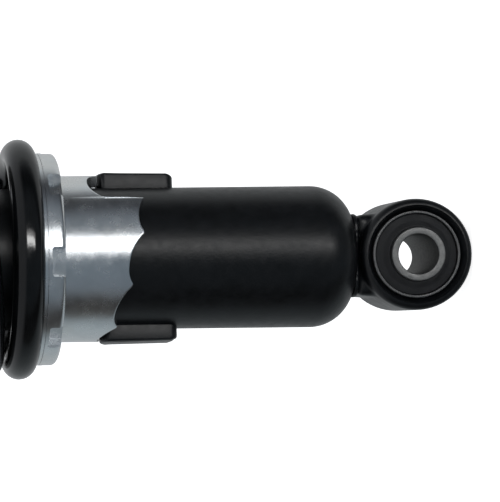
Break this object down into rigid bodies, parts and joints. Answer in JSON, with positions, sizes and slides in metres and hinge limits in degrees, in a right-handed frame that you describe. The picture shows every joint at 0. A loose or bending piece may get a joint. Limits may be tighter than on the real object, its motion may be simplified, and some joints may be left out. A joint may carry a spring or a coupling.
{
  "type": "strut assembly",
  "caption": "Coil-over shock absorber strut with rubber-bushed eyes, a black coil spring and a stepped spring preload collar that climbs cam lugs on the damper body.",
  "frame": {"origin": "lowest point of the assembly, under the centre of the lower eye, on the damper's axis", "axes": "+Z along the damper's axis from the lower eye to the upper eye, +Y along the bores of both eyes, +X across the eyes"},
  "size_m": [0.066, 0.066, 0.348],
  "materials": {
    "body_black": "satin black powder coat",
    "spring_black": "gloss black",
    "zinc_plate": "bright zinc plate over turned steel",
    "steel": "machined",
    "sleeve_steel": "dull cut tube end",
    "chrome_rod": "hard chrome, polished",
    "cast_alloy": "machined alloy",
    "bronze": "sintered",
    "rubber": "matte"
  },
  "bodies": {
    "damper_body": {"lower_eye": "body_black", "lower_bush_shell": "steel", "lower_bush_rubber": "rubber", "reservoir_tube": "body_black", "cam_lug_front": "body_black", "cam_lug_rear": "body_black", "base_valve_body": "steel", "base_valve_bolt": "steel", "base_valve_nut": "steel", "pressure_tube": "steel", "rod_guide": "cast_alloy", "rod_guide_bush": "bronze", "guide_o_ring": "rubber", "rod_seal": "rubber", "gland_nut": "zinc_plate", "dust_wiper": "rubber", "coil_spring": "spring_black"},
    "lower_sleeve": {"lower_bush_sleeve": "sleeve_steel"},
    "check_valve": {"check_valve_disc": "steel"},
    "slip_ring": {"spring_slip_ring": "zinc_plate"},
    "preload_collar": {"preload_cam_collar": "zinc_plate"},
    "upper_seat": {"upper_spring_seat": "zinc_plate"},
    "rod_group": {"piston_rod": "chrome_rod", "piston_nut": "steel", "lower_backing_washer": "steel", "rebound_shim": "steel", "piston": "cast_alloy", "piston_band": "bronze", "compression_shim": "steel", "upper_backing_washer": "steel", "top_out_collar": "steel", "top_out_rubber": "rubber", "bump_stop": "rubber", "bump_stop_washer": "zinc_plate", "rod_lock_nut": "zinc_plate", "upper_eye": "body_black", "upper_bush_shell": "steel", "upper_bush_rubber": "rubber"},
    "upper_sleeve": {"upper_bush_sleeve": "sleeve_steel"}
  },
  "joints": [
    {"name": "rod_stroke", "type": "slide", "parent": "damper_body", "child": "upper_seat", "axis": [0, 0, -1], "range_m": [0, 0.065], "stiffness_N_per_m": 20000, "springref_m": -0.015, "deforming": ["coil_spring"]},
    {"name": "rod_spin", "type": "hinge", "parent": "upper_seat", "child": "rod_group", "pos_m": [0, 0, 0.334], "axis": [0, 0, 1], "continuous": true},
    {"name": "collar_turn", "type": "hinge", "parent": "slip_ring", "child": "preload_collar", "pos_m": [0, 0, 0.109], "axis": [0, 0, -1], "range_deg": [-36.5, 108.5]},
    {"name": "collar_lift", "type": "slide", "parent": "damper_body", "child": "slip_ring", "axis": [0, 0, 1], "range_m": [-0.00288, 0.00864], "deforming": ["coil_spring"]},
    {"name": "lower_bush_turn", "type": "hinge", "parent": "damper_body", "child": "lower_sleeve", "pos_m": [0, 0, 0.014], "axis": [0, 1, 0], "range_deg": [-15, 15], "stiffness_Nm_per_rad": 0.2},
    {"name": "upper_bush_turn", "type": "hinge", "parent": "rod_group", "child": "upper_sleeve", "pos_m": [0, 0, 0.334], "axis": [0, 1, 0], "range_deg": [-15, 15], "stiffness_Nm_per_rad": 0.2},
    {"name": "check_valve_lift", "type": "slide", "parent": "damper_body", "child": "check_valve", "axis": [0, 0, 1], "range_m": [0, 0.0008], "stiffness_N_per_m": 100, "springref_m": -0.002}
  ],
  "couplings": [
    {"joint": "collar_turn", "follows": "collar_lift", "rad_per_m": 218.17}
  ]
}
